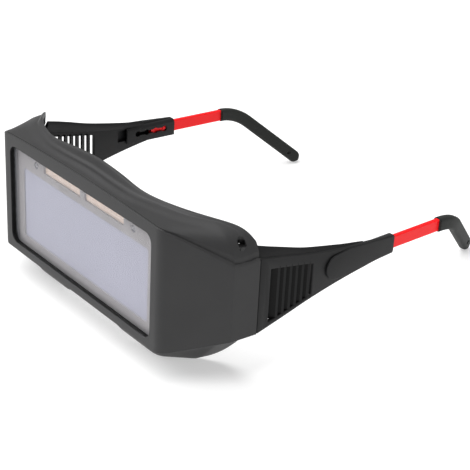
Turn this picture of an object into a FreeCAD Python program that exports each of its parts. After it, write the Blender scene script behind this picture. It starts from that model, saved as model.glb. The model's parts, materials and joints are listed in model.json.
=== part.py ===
import FreeCAD, Part
import math
import os

# Auto-darkening welding goggles on spectacle arms.
#
# Working axes: X runs across the face, -Y points forward out of the lens and +Z is up.
# The model is built with the front face on y = 0 and its bottom edge on z = 0, and every
# sub-part is moved by TO_ORIGIN as it is written, so that the finished part has its origin
# under the middle of its bounding box.  The right-hand side (+X) is modelled and mirrored.

V = FreeCAD.Vector
UP = V(0, 0, 1)

# ---------------------------------------------------------------- driving dimensions (mm)
# Shell: front face, side panels in plan, and the heights of their edges
FRONT_WIDTH = 118.0
FRONT_HEIGHT = 54.7
BROW_ARCH = 1.3
WALL = 2.2
BEND_X, BEND_Y = 78.3, 21.3
SEAM_X, SEAM_Y = 80.7, 31.9
BEND_TOP, SEAM_TOP = 43.0, 42.6
BEND_BOTTOM, SEAM_BOTTOM = 8.2, 9.7

# Shell: upper surface, from the front crease to the upturned lip that follows the brow
SHOULDER_FALL = 4.4
RISER_SHARE = 0.45
RISER_START, RISER_END = 9.0, 2.0
LIP_START, LIP_END = 2.6, 0.9
BROW_LIFT_SIDE, BROW_LIFT_MIDDLE, BROW_LIFT_SPREAD = 1.5, 2.6, 32.0
BROW_CURVE = [(0.0, 11.7), (29.0, 10.8), (43.5, 13.7), (56.1, 17.8),
              (65.8, 25.2), (72.5, 29.3), (84.0, 32.0)]
BROW_RIM = [(0.0, 11.7), (17.0, 11.3), (33.0, 11.0), (47.0, 14.6),
            (60.5, 20.8), (71.0, 28.5), (77.1, 31.9)]
TOP_SHARES = (0.0, 0.3, 0.6, 0.8, 0.92, 1.0)

# Shell: cheek flanges under the front, with the nose notch between them
CHEEK_DROP = 11.2
CHEEK_RUN = 12.0
CHEEK_SHOULDER = 27.0
NOSE_HALF_TOP, NOSE_HALF_BOTTOM = 2.0, 22.5
CHEEK_RIM = [(0.0, 9.0), (19.0, 9.6), (36.0, 13.4), (50.0, 20.5),
             (57.5, 26.0), (63.0, 30.0), (68.0, 31.9)]
CHEEK_SHARES = (0.0, 0.25, 0.5, 0.75, 1.0)

# Skin: how far it thickens on steep ground, and how the plan is divided
STEEPNESS_STEP = 0.4
STEEPNESS_LIMIT = 1.8
PLAN_STEPS = (0.0, 20.0, 40.0)

# Window and the stack of lenses behind it
WINDOW_WIDTH = 107.2
WINDOW_BOTTOM, WINDOW_TOP = 4.0, 50.0
WINDOW_CORNER = 4.2
LENS_CENTRE_Z = 27.0
CARTRIDGE_WIDTH, CARTRIDGE_HEIGHT = 108.0, 50.8
POCKET_PLAY = 0.4
COLLAR_WALL = 1.6
COLLAR_DEPTH = 13.5
PLATE = 1.0
COLLAR_FLOOR, COLLAR_ROOF = 0.9, 1.0
COVER_CORNER, RING_CORNER = 2.0, 1.5
SOLAR_FRONT, SOLAR_THICKNESS, SOLAR_LAP = 4.0, 0.6, 0.6
BOARD_FRONT, BOARD_REAR, BOARD_HALF = 5.6, 6.4, 48.0
BOARD_BOTTOM, BOARD_TOP, BOARD_ROOM = 42.5, 50.8, 0.2
CHIP_X, CHIP_HALF_X, CHIP_HALF_Z, CHIP_THICKNESS = 12.0, 3.0, 2.0, 1.0
REAR_SKIN = 0.5
CELL_X, CELL_RADIUS, CELL_THICKNESS = 28.0, 3.4, 1.4
SEAL_THICKNESS, SEAL_INSET = 0.7, 0.2
SEAL_OUTLINE = (98.0, 5.0, 45.6)
INNER_LENS = (104.0, 3.1, 50.9)
RETAINER_THICKNESS = 2.8
CLIP_Y, CLIP_DEPTH, CLIP_HALF, CLIP_BITE, CLIP_ROOM, CLIP_ROOT = 10.4, 1.4, 5.0, 1.0, 0.3, 1.0
VIEW_WIDTH, VIEW_BOTTOM, VIEW_TOP = 94.6, 8.0, 40.6
GLASS_MARGIN = 1.3
GLASS, FILM = 1.1, 0.3
SOLAR_INNER, SOLAR_OUTER = 1.8, 30.2
SOLAR_BOTTOM, SOLAR_TOP = 43.8, 47.4
SENSOR_X, SENSOR_Z, SENSOR_RADIUS = 36.8, 45.2, 1.5
SMALL_GAP = 0.1
FRAME_DEPTH, FRAME_SPLIT, GLASS_RECESS = 5.3, 2.3, 0.5

# Hinges
HINGE_X, HINGE_Y = 75.2, 26.3
PIN_RADIUS = 1.2
PIN_BOTTOM, PIN_TOP = 8.6, 46.0
PIN_RUNNING_CLEARANCE = 0.05
BARREL_RADIUS = 2.4
BARREL_BOTTOM, BARREL_TOP = 13.2, 39.8
BARREL_ROOM = 0.35
LUG_RADIUS = 3.6
PIN_MOUTH_RADIUS = 1.5
PIN_MOUTH_FLOOR = 46.4
PIN_GRIP = 0.02
UPPER_LUG_TOP, LOWER_LUG_BOTTOM = 42.4, 9.5
WEB_HALF, WEB_SHORTER = 1.6, 6.0

# Temple arms
ARM_WALL = 2.2
ARM_GAP = 0.3
ARM_END_Y = 105.0
ARM_BOTTOM = [(59.0, 17.4), (75.8, 21.4), (92.4, 24.3), (105.0, 25.3)]
ARM_SHOULDER = [(105.0, 33.5), (85.7, 34.8), (74.2, 35.6), (57.0, 38.0)]
FLANGE = [(32.2, 3.6, 4.9), (39.0, 2.5, 4.3), (54.0, 1.7, 3.0), (72.0, 1.5, 2.1), (88.0, 1.2, 0.9)]
FLANGE_LEAF, FLANGE_LEAF_TOP = 1.6, 0.96

# Louvres in the temple arms
VENT_FRONT, VENT_REAR = 37.6, 59.4
VENT_TOP_FRONT, VENT_TOP_REAR = 36.8, 33.2
VENT_BOTTOM_FRONT, VENT_BOTTOM_REAR = 13.2, 19.2
FIRST_FIN = 41.6
FIN_PITCH = 3.08
FIN_COUNT = 6
FIN_THICKNESS = 1.6
FIN_SLANT = 2.6
FIN_REACH = 0.8
FIN_INSET, FIN_ROOT = 0.3, 1.2

# Length adjustment: a flat bar sliding in a sleeve at the end of the arm
SLIDE_ANGLE = 2.5
SLEEVE_X, SLEEVE_Z = 78.0, 29.5
SLEEVE_LENGTH = 30.0
SLEEVE_HALF = 2.3
SLEEVE_BELOW, SLEEVE_ABOVE = 4.3, 3.9
SLEEVE_BEVEL = 1.2
MOUTH_LENGTH = 5.0
PAD_LENGTH, PAD_THICKNESS = 39.0, 1.2
PAD_FRONT_RADIUS, PAD_NOSE_DROP, PAD_FLARE = 5.6, 1.0, 12.0
BAR_THICKNESS, BAR_HEIGHT = 2.2, 5.6
BAR_ROOM, BAR_EDGE = 0.15, 0.5
BAR_FRONT, BAR_VISIBLE = -13.0, 29.0
TAIL_LENGTH, TAIL_HALF = 5.0, 1.8
DETENT_PITCH = 5.1
DETENT_COUNT = 4
DETENT_LAST = -6.0
LOBE_RADIUS, NECK_HALF = 1.45, 0.9
PEG_RADIUS, PEG_HEIGHT = 0.75, 0.5

# Rubber temple tips
TIP_WIDTH, TIP_THICKNESS = 6.2, 4.4
TIP_STRAIGHT = 9.5
TIP_BEND_RADIUS = 22.0
TIP_END = V(61.4, 172.5, 4.2)
TIP_HOLE_FROM_END = 4.0
TIP_HOLE_RADIUS = 1.0
TIP_STEP = 0.05

# How far a cutter runs past the face it opens, and past everything
OVERCUT = 1.0
THROUGH = 30.0

# Origin: middle of the length, level of the lowest cheek rim
HALF_LENGTH = 88.1
REST_HEIGHT = 11.54
TO_ORIGIN = V(0, -HALF_LENGTH, REST_HEIGHT)

# ---------------------------------------------------------------- sizes that follow from them
HALF_FRONT = FRONT_WIDTH / 2
STACK_LOW = LENS_CENTRE_Z - CARTRIDGE_HEIGHT / 2
STACK_HIGH = LENS_CENTRE_Z + CARTRIDGE_HEIGHT / 2
POCKET_WIDTH = CARTRIDGE_WIDTH + 2 * POCKET_PLAY
POCKET_LOW, POCKET_HIGH = STACK_LOW - POCKET_PLAY, STACK_HIGH + POCKET_PLAY
CARTRIDGE = (CARTRIDGE_WIDTH, STACK_LOW, STACK_HIGH)
CARTRIDGE_FRONT = WALL + PLATE
CARTRIDGE_SPLIT = CARTRIDGE_FRONT + FRAME_SPLIT
CARTRIDGE_REAR = CARTRIDGE_FRONT + FRAME_DEPTH
VIEW = (VIEW_WIDTH, VIEW_BOTTOM, VIEW_TOP)
GLASS_OUTLINE = (VIEW_WIDTH + 2 * GLASS_MARGIN, VIEW_BOTTOM - GLASS_MARGIN, VIEW_TOP + GLASS_MARGIN)
GLASS_FRONT = CARTRIDGE_FRONT + GLASS_RECESS
LAYERS = (("uv_ir_filter_glass", GLASS), ("front_polariser", FILM), ("outer_liquid_crystal_cell", GLASS),
          ("middle_polariser", FILM), ("inner_liquid_crystal_cell", GLASS), ("rear_polariser", FILM))
GLASS_REAR = GLASS_FRONT + sum(thickness for name, thickness in LAYERS)
SEAL_REAR = CARTRIDGE_REAR + SEAL_THICKNESS
RETAINER_REAR = SEAL_REAR + RETAINER_THICKNESS
ARM_FRONT = SEAM_Y + ARM_GAP
ARM_INSIDE = SEAM_X - ARM_WALL
KNUCKLE_WEB = [(HINGE_X - WEB_HALF, HINGE_Y), (HINGE_X + WEB_HALF, HINGE_Y), (HINGE_X + 2.0, SEAM_Y - 0.5),
               (ARM_INSIDE - 0.4, SEAM_Y + 0.9), (ARM_INSIDE + 0.6, SEAM_Y + 1.2),
               (ARM_INSIDE + 0.6, SEAM_Y + 5.0), (HINGE_X + 0.6, SEAM_Y + 1.5)]


# ---------------------------------------------------------------- shape helpers
def smooth_step(t):
    t = min(max(t, 0.0), 1.0)
    return t * t * (3.0 - 2.0 * t)


def blend(points, x):
    """Value at |x| of the smooth curve through (x, value) points."""
    x = min(abs(x), points[-1][0])
    index = 0
    while index < len(points) - 2 and x > points[index + 1][0]:
        index += 1
    (x0, y0), (x1, y1) = points[index], points[index + 1]
    before = points[index - 1] if index else (-points[1][0], points[1][1])
    after = points[index + 2] if index + 2 < len(points) else (x1, y1)
    span = x1 - x0
    slope0 = (y1 - before[1]) / (x1 - before[0])
    slope1 = (after[1] - y0) / (after[0] - x0)
    t = (x - x0) / span
    rise = y0 * (1 + 2 * t) * (1 - t) ** 2 + y1 * t * t * (3 - 2 * t)
    return rise + span * (slope0 * t * (1 - t) ** 2 + slope1 * t * t * (t - 1))


def box(x0, x1, y0, y1, z0, z1):
    return Part.makeBox(x1 - x0, y1 - y0, z1 - z0, V(x0, y0, z0))


def polygon_solid(points, direction):
    wire = Part.makePolygon(points + [points[0]])
    return Part.Face(wire).extrude(direction)


def plan_prism(outline, z0, z1):
    return polygon_solid([V(x, y, z0) for x, y in outline], V(0, 0, z1 - z0))


def side_prism(outline, x0, x1):
    return polygon_solid([V(x0, y, z) for y, z in outline], V(x1 - x0, 0, 0))


def round_edges(shape, radius, wanted):
    edges = [edge for edge in shape.Edges if wanted(edge)]
    return shape.makeFillet(radius, edges)


def runs_along(edge, axis):
    first, last = edge.Vertexes[0].Point, edge.Vertexes[-1].Point
    return abs((last - first).dot(axis)) > 0.999 * (last - first).Length > 0.001


def plate(width, bottom, top, y0, y1, corner=0.0):
    """A flat upright plate, centred on x = 0, with rounded corners."""
    shape = box(-width / 2, width / 2, y0, y1, bottom, top)
    if corner:
        shape = round_edges(shape, corner, lambda edge: runs_along(edge, V(0, 1, 0)))
    return shape


def peg(x, z, radius, y0, y1):
    return Part.makeCylinder(radius, y1 - y0, V(x, y0, z), V(0, 1, 0))


def mirrored(shape):
    return shape.mirror(V(0, 0, 0), V(1, 0, 0))


def join(shapes):
    return shapes[0].multiFuse(shapes[1:]).removeSplitter()


# ---------------------------------------------------------------- shell
def half_width(y):
    if y < BEND_Y:
        return HALF_FRONT + (BEND_X - HALF_FRONT) * y / BEND_Y
    return BEND_X + (SEAM_X - BEND_X) * (y - BEND_Y) / (SEAM_Y - BEND_Y)


def edge_height(y, start, bend, seam):
    if y < BEND_Y:
        return start + (bend - start) * max(y, 0.0) / BEND_Y
    return bend + (seam - bend) * (y - BEND_Y) / (SEAM_Y - BEND_Y)


def top_height(x, y):
    lift = BROW_LIFT_SIDE + BROW_LIFT_MIDDLE * math.exp(-(x / BROW_LIFT_SPREAD) ** 2)
    ahead = blend(BROW_CURVE, x) - y
    riser = smooth_step((RISER_START - ahead) / (RISER_START - RISER_END))
    lip = smooth_step((LIP_START - ahead) / (LIP_START - LIP_END))
    crown = FRONT_HEIGHT + BROW_ARCH * (1 - (x / HALF_FRONT) ** 2)
    level = crown + lift * (RISER_SHARE * riser + (1 - RISER_SHARE) * lip)
    side = edge_height(y, FRONT_HEIGHT, BEND_TOP, SEAM_TOP)
    fall = math.exp(-(half_width(y) - abs(x)) / SHOULDER_FALL)
    return level - (FRONT_HEIGHT + smooth_step(y / BEND_Y) - side) * fall


def belly_height(x, y):
    notch = smooth_step((abs(x) - NOSE_HALF_TOP) / (NOSE_HALF_BOTTOM - NOSE_HALF_TOP))
    level = -CHEEK_DROP * notch * smooth_step(y / CHEEK_RUN)
    side = edge_height(y, 0.0, BEND_BOTTOM, SEAM_BOTTOM)
    return level + (side - level) * (1 - smooth_step((half_width(y) - abs(x)) / CHEEK_SHOULDER))


def steepness(height, x, y):
    """Length of the surface normal over its upright part."""
    step = STEEPNESS_STEP
    slope_x = (height(x + step, y) - height(x - step, y)) / (2 * step)
    slope_y = (height(x, y + step) - height(x, y - step)) / (2 * step)
    return min(math.sqrt(1 + slope_x ** 2 + slope_y ** 2), STEEPNESS_LIMIT)


def crease_plan(inset):
    """Right half of the shell's plan edge: middle, front, corner, bend and seam."""
    slant = inset * math.hypot(BEND_X - HALF_FRONT, BEND_Y) / BEND_Y
    lean = (BEND_X - HALF_FRONT) * inset / BEND_Y
    corner = (HALF_FRONT - slant + lean, inset)
    bend = (BEND_X - slant, BEND_Y)
    seam = (SEAM_X - inset, SEAM_Y)
    middle = ((corner[0] + bend[0]) / 2, (corner[1] + bend[1]) / 2)
    return [(x, inset) for x in PLAN_STEPS] + [corner, middle, bend, seam]


def sheet_rows(inset, rim, shares, height):
    """Points of a sheet's right half, row by row, from its crease to its rim."""
    rows = []
    for share in shares:
        row = []
        for (x0, y0), (x1, y1) in zip(crease_plan(inset), rim):
            x, y = x0 + share * (x1 - x0), y0 + share * (y1 - y0)
            row.append(V(x, y, height(x, y)))
        rows.append(row)
    return rows


def row_edges(row):
    """A whole row as edges that meet at its corners: seam, bend, corner, front and back."""
    left = [V(-p.x, p.y, p.z) for p in row]
    runs = [[left[6], left[5]], [left[5], left[4], left[3]], left[3:0:-1] + row[:4],
            [row[3], row[4], row[5]], [row[5], row[6]]]
    edges = []
    for run in runs:
        if len(run) == 2:
            edges.append(Part.makeLine(run[0], run[1]))
        else:
            curve = Part.BSplineCurve()
            curve.interpolate(run)
            edges.append(curve.toShape())
    return edges


def strips(rows_a, rows_b):
    return [Part.makeRuledSurface(a, b) for a, b in zip(rows_a, rows_b)]


def quad(a, b, c, d):
    return Part.Face(Part.makePolygon([a, b, c, d, a]))


def upright_faces(top, low):
    """The faces between a top and a bottom crease: the flat front one and the panels beside it."""
    faces = []
    for index, (a, b) in enumerate(zip(top, low)):
        if index == len(top) // 2:
            ends = [Part.makeLine(a.Vertexes[i].Point, b.Vertexes[i].Point) for i in (0, -1)]
            faces.append(Part.Face(Part.Wire(Part.sortEdges([a, b] + ends)[0])))
        else:
            faces.append(Part.makeRuledSurface(a, b))
    return faces


def make_skin():
    """The closed thick skin of the shell, without its window, collar and hinge lugs."""
    top_out = sheet_rows(0.0, BROW_RIM, TOP_SHARES, top_height)
    top_in = sheet_rows(WALL, BROW_RIM, TOP_SHARES,
                        lambda x, y: top_height(x, y) - WALL * steepness(top_height, x, y))
    low_out = sheet_rows(0.0, CHEEK_RIM, CHEEK_SHARES, belly_height)
    low_in = sheet_rows(WALL, CHEEK_RIM, CHEEK_SHARES,
                        lambda x, y: belly_height(x, y) + WALL * steepness(belly_height, x, y))
    faces = []
    creases = []
    for rows in (top_out, top_in, low_out, low_in):
        edges = [row_edges(row) for row in rows]
        creases.append(edges)
        for upper, lower in zip(edges, edges[1:]):
            faces += strips(upper, lower)
    faces += strips(creases[0][-1], creases[1][-1])
    faces += strips(creases[2][-1], creases[3][-1])
    for top, low in ((0, 2), (1, 3)):
        faces += upright_faces(creases[top][0], creases[low][0])
    for sign in (1, -1):
        for out_rows, in_rows in ((top_out, top_in), (low_out, low_in)):
            outer = [V(sign * row[-1].x, row[-1].y, row[-1].z) for row in out_rows]
            inner = [V(sign * row[-1].x, row[-1].y, row[-1].z) for row in in_rows]
            for index in range(len(outer) - 1):
                faces.append(quad(outer[index], outer[index + 1], inner[index + 1], inner[index]))
        ends = [rows[0][-1] for rows in (top_out, low_out, low_in, top_in)]
        faces.append(quad(*[V(sign * p.x, p.y, p.z) for p in ends]))
    shell = Part.makeShell(faces)
    shell.sewShape()
    return Part.makeSolid(shell)


def hinge_cylinder(side, radius, z0, z1):
    return Part.makeCylinder(radius, z1 - z0, V(side * HINGE_X, HINGE_Y, z0))


def side_box(side, x0, x1, y0, y1, z0, z1):
    """A box given for the right-hand side, or its mirror image."""
    block = box(x0, x1, y0, y1, z0, z1)
    return block if side > 0 else mirrored(block)


def make_goggle_shell():
    collar_width = POCKET_WIDTH + 2 * COLLAR_WALL
    collar = plate(collar_width, POCKET_LOW - COLLAR_FLOOR, POCKET_HIGH + COLLAR_ROOF, WALL / 2, COLLAR_DEPTH)
    shell = make_skin().fuse(collar)
    for side in (1, -1):
        shell = shell.fuse(hinge_cylinder(side, LUG_RADIUS, BARREL_TOP + BARREL_ROOM, UPPER_LUG_TOP))
        shell = shell.fuse(hinge_cylinder(side, LUG_RADIUS, LOWER_LUG_BOTTOM, BARREL_BOTTOM - BARREL_ROOM))
    shell = shell.cut(plate(POCKET_WIDTH, POCKET_LOW, POCKET_HIGH, WALL, COLLAR_DEPTH + THROUGH))
    shell = shell.cut(plate(WINDOW_WIDTH, WINDOW_BOTTOM, WINDOW_TOP, -OVERCUT, WALL + OVERCUT, WINDOW_CORNER))
    barrel_room = BARREL_RADIUS + BARREL_ROOM
    slot_x = POCKET_WIDTH / 2 - CLIP_ROOM
    slot_half = CLIP_HALF + CLIP_ROOM
    for side in (1, -1):
        shell = shell.cut(hinge_cylinder(side, barrel_room,
                                         BARREL_BOTTOM - BARREL_ROOM, BARREL_TOP + BARREL_ROOM))
        shell = shell.cut(hinge_cylinder(side, PIN_RADIUS + PIN_GRIP, PIN_BOTTOM, PIN_MOUTH_FLOOR))
        shell = shell.cut(hinge_cylinder(side, PIN_MOUTH_RADIUS, PIN_MOUTH_FLOOR, PIN_MOUTH_FLOOR + THROUGH))
        shell = shell.cut(side_box(side, slot_x, slot_x + COLLAR_WALL + OVERCUT,
                                   CLIP_Y - CLIP_ROOM, CLIP_Y + CLIP_DEPTH + CLIP_ROOM,
                                   LENS_CENTRE_Z - slot_half, LENS_CENTRE_Z + slot_half))
    return shell


# ---------------------------------------------------------------- lens stack
def ring(outer, view, y0, y1):
    """A flat rectangular ring between two (width, bottom, top) outlines."""
    return plate(*outer, y0, y1, RING_CORNER).cut(plate(*view, y0 - OVERCUT, y1 + OVERCUT, RING_CORNER))


def grown(outline, margin):
    width, bottom, top = outline
    return width + 2 * margin, bottom - margin, top + margin


def make_front_cover_lens():
    return plate(*CARTRIDGE, WALL, WALL + PLATE, COVER_CORNER)


def solar_block(side, y0, y1, margin):
    return side_box(side, SOLAR_INNER - margin, SOLAR_OUTER + margin, y0, y1,
                    SOLAR_BOTTOM - margin, SOLAR_TOP + margin)


def make_cartridge_front_frame():
    body = ring(CARTRIDGE, VIEW, CARTRIDGE_FRONT, CARTRIDGE_SPLIT)
    body = body.cut(plate(*grown(GLASS_OUTLINE, SMALL_GAP), GLASS_FRONT, CARTRIDGE_SPLIT + OVERCUT))
    for side in (1, -1):
        body = body.cut(solar_block(side, CARTRIDGE_FRONT - OVERCUT, CARTRIDGE_SPLIT, 0.0))
        body = body.cut(solar_block(side, SOLAR_FRONT, CARTRIDGE_SPLIT + OVERCUT, SOLAR_LAP + SMALL_GAP))
        body = body.cut(peg(side * SENSOR_X, SENSOR_Z, SENSOR_RADIUS + SMALL_GAP,
                            CARTRIDGE_FRONT - OVERCUT, CARTRIDGE_SPLIT + OVERCUT))
    return body


def make_cartridge_rear_frame():
    body = ring(CARTRIDGE, VIEW, CARTRIDGE_SPLIT, CARTRIDGE_REAR)
    body = body.cut(plate(*grown(GLASS_OUTLINE, SMALL_GAP),
                          CARTRIDGE_SPLIT - OVERCUT, GLASS_REAR + SMALL_GAP))
    board_room = box(-BOARD_HALF - BOARD_ROOM, BOARD_HALF + BOARD_ROOM,
                     CARTRIDGE_SPLIT - OVERCUT, CARTRIDGE_REAR - REAR_SKIN,
                     BOARD_BOTTOM - BOARD_ROOM, BOARD_TOP + BOARD_ROOM)
    return body.cut(board_room)


def make_solar_cell(side):
    return solar_block(side, SOLAR_FRONT, SOLAR_FRONT + SOLAR_THICKNESS, SOLAR_LAP)


def make_arc_sensor(side):
    """A round-nosed epoxy package that stands on the front of the control board."""
    dome_y = CARTRIDGE_FRONT + SENSOR_RADIUS
    dome = Part.makeSphere(SENSOR_RADIUS, V(side * SENSOR_X, dome_y, SENSOR_Z), V(0, -1, 0), 0, 90, 360)
    return dome.fuse(peg(side * SENSOR_X, SENSOR_Z, SENSOR_RADIUS, dome_y, BOARD_FRONT))


def make_control_board():
    board = box(-BOARD_HALF, BOARD_HALF, BOARD_FRONT, BOARD_REAR, BOARD_BOTTOM, BOARD_TOP)
    middle = (BOARD_BOTTOM + BOARD_TOP) / 2
    chips = [box(side * CHIP_X - CHIP_HALF_X, side * CHIP_X + CHIP_HALF_X,
                 BOARD_REAR, BOARD_REAR + CHIP_THICKNESS,
                 middle - CHIP_HALF_Z, middle + CHIP_HALF_Z) for side in (1, -1)]
    return join([board] + chips)


def make_button_cells():
    middle = (BOARD_BOTTOM + BOARD_TOP) / 2
    front = BOARD_REAR + SMALL_GAP
    cells = [peg(side * CELL_X, middle, CELL_RADIUS, front, front + CELL_THICKNESS) for side in (1, -1)]
    return Part.makeCompound(cells)


def make_glass_layers():
    """The light filter from front to back, as (name, solid) pairs."""
    layers = []
    y = GLASS_FRONT
    for name, thickness in LAYERS:
        layers.append((name, plate(*GLASS_OUTLINE, y, y + thickness)))
        y += thickness
    return layers


def make_cartridge_seal():
    return ring(grown(CARTRIDGE, -SEAL_INSET), SEAL_OUTLINE, CARTRIDGE_REAR, SEAL_REAR)


def make_inner_cover_lens():
    return plate(*INNER_LENS, SEAL_REAR, SEAL_REAR + PLATE, RING_CORNER)


def make_lens_retainer():
    body = ring(CARTRIDGE, SEAL_OUTLINE, SEAL_REAR, RETAINER_REAR)
    body = body.cut(plate(*grown(INNER_LENS, SMALL_GAP), SEAL_REAR - OVERCUT, SEAL_REAR + PLATE, RING_CORNER))
    for side in (1, -1):
        clip = side_box(side, CARTRIDGE_WIDTH / 2 - CLIP_ROOT, POCKET_WIDTH / 2 + CLIP_BITE,
                        CLIP_Y, CLIP_Y + CLIP_DEPTH, LENS_CENTRE_Z - CLIP_HALF, LENS_CENTRE_Z + CLIP_HALF)
        body = body.fuse(clip)
    return body


# ---------------------------------------------------------------- hinges and temple arms
def make_hinge_pin():
    return Part.makeCylinder(PIN_RADIUS, PIN_TOP - PIN_BOTTOM, V(HINGE_X, HINGE_Y, PIN_BOTTOM))


def on_slide(shape):
    """Move a shape built along +Y from the sleeve's mouth to its place on the right arm."""
    shape.rotate(V(0, 0, 0), UP, SLIDE_ANGLE)
    shape.translate(V(SLEEVE_X, ARM_END_Y, SLEEVE_Z))
    return shape


def arm_outline(front):
    return [(front, SEAM_BOTTOM)] + ARM_BOTTOM + ARM_SHOULDER + [(front, SEAM_TOP)]


def shoulder_height(y):
    line = [(ARM_FRONT, SEAM_TOP)] + ARM_SHOULDER[::-1]
    for (y0, z0), (y1, z1) in zip(line, line[1:]):
        if y <= y1:
            return z0 + (z1 - z0) * (y - y0) / (y1 - y0)
    return line[-1][1]


def make_arm_flange():
    """The top edge of the arm: a leaf that leans inward and dies out toward the sleeve."""
    sections = []
    for y, inward, height in FLANGE:
        root = V(SEAM_X, y, shoulder_height(y))
        crest = root + V(-inward, 0, height)
        inner_crest = crest + V(-FLANGE_LEAF_TOP, 0, -FLANGE_LEAF)
        inner_root = root + V(-ARM_WALL, 0, -FLANGE_LEAF)
        sections.append(Part.makePolygon([root, crest, inner_crest, inner_root, root]))
    return Part.makeLoft(sections, True, True)


def vent_height(y, front, rear):
    return front + (rear - front) * (y - VENT_FRONT) / (VENT_REAR - VENT_FRONT)


def make_vent_opening():
    outline = [(VENT_FRONT, VENT_BOTTOM_FRONT), (VENT_REAR, VENT_BOTTOM_REAR),
               (VENT_REAR, VENT_TOP_REAR), (VENT_FRONT, VENT_TOP_FRONT)]
    return side_prism(outline, SEAM_X - ARM_WALL - OVERCUT, SEAM_X + OVERCUT)


def make_vent_fins():
    fins = []
    inside, outside = SEAM_X - ARM_WALL - FIN_REACH, SEAM_X - FIN_INSET
    half, lean = FIN_THICKNESS / 2, FIN_SLANT / 2
    for index in range(FIN_COUNT):
        y = FIRST_FIN + index * FIN_PITCH
        plan = [(inside, y - lean - half), (inside, y - lean + half),
                (outside, y + lean + half), (outside, y + lean - half)]
        low = vent_height(y, VENT_BOTTOM_FRONT, VENT_BOTTOM_REAR) - FIN_ROOT
        high = vent_height(y, VENT_TOP_FRONT, VENT_TOP_REAR) + FIN_ROOT
        fins.append(plan_prism(plan, low, high))
    return fins


def make_sleeve():
    outline = [(-SLEEVE_HALF, -SLEEVE_BELOW), (SLEEVE_HALF, -SLEEVE_BELOW), (SLEEVE_HALF, SLEEVE_ABOVE),
               (-SLEEVE_HALF + SLEEVE_BEVEL, SLEEVE_ABOVE), (-SLEEVE_HALF, SLEEVE_ABOVE - SLEEVE_BEVEL)]
    return on_slide(polygon_solid([V(x, -SLEEVE_LENGTH, z) for x, z in outline], V(0, SLEEVE_LENGTH, 0)))


def make_sleeve_pad():
    """The raised bullet on the outside of the arm that makes room for the bar."""
    block = on_slide(box(SLEEVE_HALF - PAD_THICKNESS, SLEEVE_HALF,
                         -PAD_LENGTH, 0, -FRONT_HEIGHT, FRONT_HEIGHT))
    nose_y, nose_z = ARM_END_Y - PAD_LENGTH + PAD_FRONT_RADIUS, SLEEVE_Z - PAD_NOSE_DROP
    bullet = [(ARM_END_Y + OVERCUT, nose_z + PAD_FRONT_RADIUS + PAD_FLARE)]
    for angle in range(0, 181, 15):
        turned = math.radians(angle)
        bullet.append((nose_y - PAD_FRONT_RADIUS * math.sin(turned),
                       nose_z + PAD_FRONT_RADIUS * math.cos(turned)))
    bullet.append((ARM_END_Y + OVERCUT, nose_z - PAD_FRONT_RADIUS - PAD_FLARE))
    reach = 2 * SLEEVE_HALF
    for outline in (bullet, arm_outline(ARM_FRONT)):
        block = block.common(side_prism(outline, SEAM_X - reach, SEAM_X + reach))
    return block


def bar_space(y0, y1, room, inner_reach=0.0):
    half_x, half_z = BAR_THICKNESS / 2 + room, BAR_HEIGHT / 2 + room
    return on_slide(box(-half_x - inner_reach, half_x, y0, y1, -half_z, half_z))


def sleeve_mouth():
    """A recess inside the arm in front of the sleeve, where the bar comes out when it is pushed in."""
    return bar_space(-SLEEVE_LENGTH - MOUTH_LENGTH, -SLEEVE_LENGTH, BAR_ROOM, SLEEVE_HALF)


def detent_slot():
    """Round lobes joined by a narrower neck, through the inner wall of the sleeve."""
    inner = -SLEEVE_HALF - OVERCUT
    first = DETENT_LAST - DETENT_PITCH * (DETENT_COUNT - 1)
    cuts = [box(inner, 0, first, DETENT_LAST, -NECK_HALF, NECK_HALF)]
    for index in range(DETENT_COUNT):
        lobe_at = V(inner, first + index * DETENT_PITCH, 0)
        cuts.append(Part.makeCylinder(LOBE_RADIUS, -inner, lobe_at, V(1, 0, 0)))
    return on_slide(join(cuts))


def make_hinge_knuckle():
    """The barrel that turns on the pin, and the web that carries it on the arm's front edge."""
    barrel = hinge_cylinder(1, BARREL_RADIUS, BARREL_BOTTOM, BARREL_TOP)
    return barrel.fuse(plan_prism(KNUCKLE_WEB, BARREL_BOTTOM, BARREL_TOP - WEB_SHORTER))


def make_temple_arm():
    arm = side_prism(arm_outline(ARM_FRONT), SEAM_X - ARM_WALL, SEAM_X).cut(make_vent_opening())
    pieces = [make_arm_flange(), make_sleeve(), make_sleeve_pad(), make_hinge_knuckle()]
    for piece in make_vent_fins() + pieces:
        arm = arm.fuse(piece)
    bore = hinge_cylinder(1, PIN_RADIUS + PIN_RUNNING_CLEARANCE,
                          BARREL_BOTTOM - OVERCUT, BARREL_TOP + OVERCUT)
    bar_channel = bar_space(-SLEEVE_LENGTH - OVERCUT, OVERCUT, BAR_ROOM)
    for room in (bar_channel, sleeve_mouth(), detent_slot(), bore):
        arm = arm.cut(room)
    return arm


def make_slider():
    half_x, half_z = BAR_THICKNESS / 2, BAR_HEIGHT / 2
    bar = box(-half_x, half_x, BAR_FRONT, BAR_VISIBLE, -half_z, half_z)
    bar = round_edges(bar, BAR_EDGE, lambda edge: runs_along(edge, V(0, 1, 0)))
    bar = bar.fuse(box(-half_x, half_x, BAR_VISIBLE - OVERCUT, BAR_VISIBLE + TAIL_LENGTH,
                       -TAIL_HALF, TAIL_HALF))
    peg_reach = half_x + PEG_HEIGHT
    nib = Part.makeCylinder(PEG_RADIUS, peg_reach, V(-peg_reach, DETENT_LAST, 0), V(1, 0, 0))
    return on_slide(bar.fuse(nib))


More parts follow.
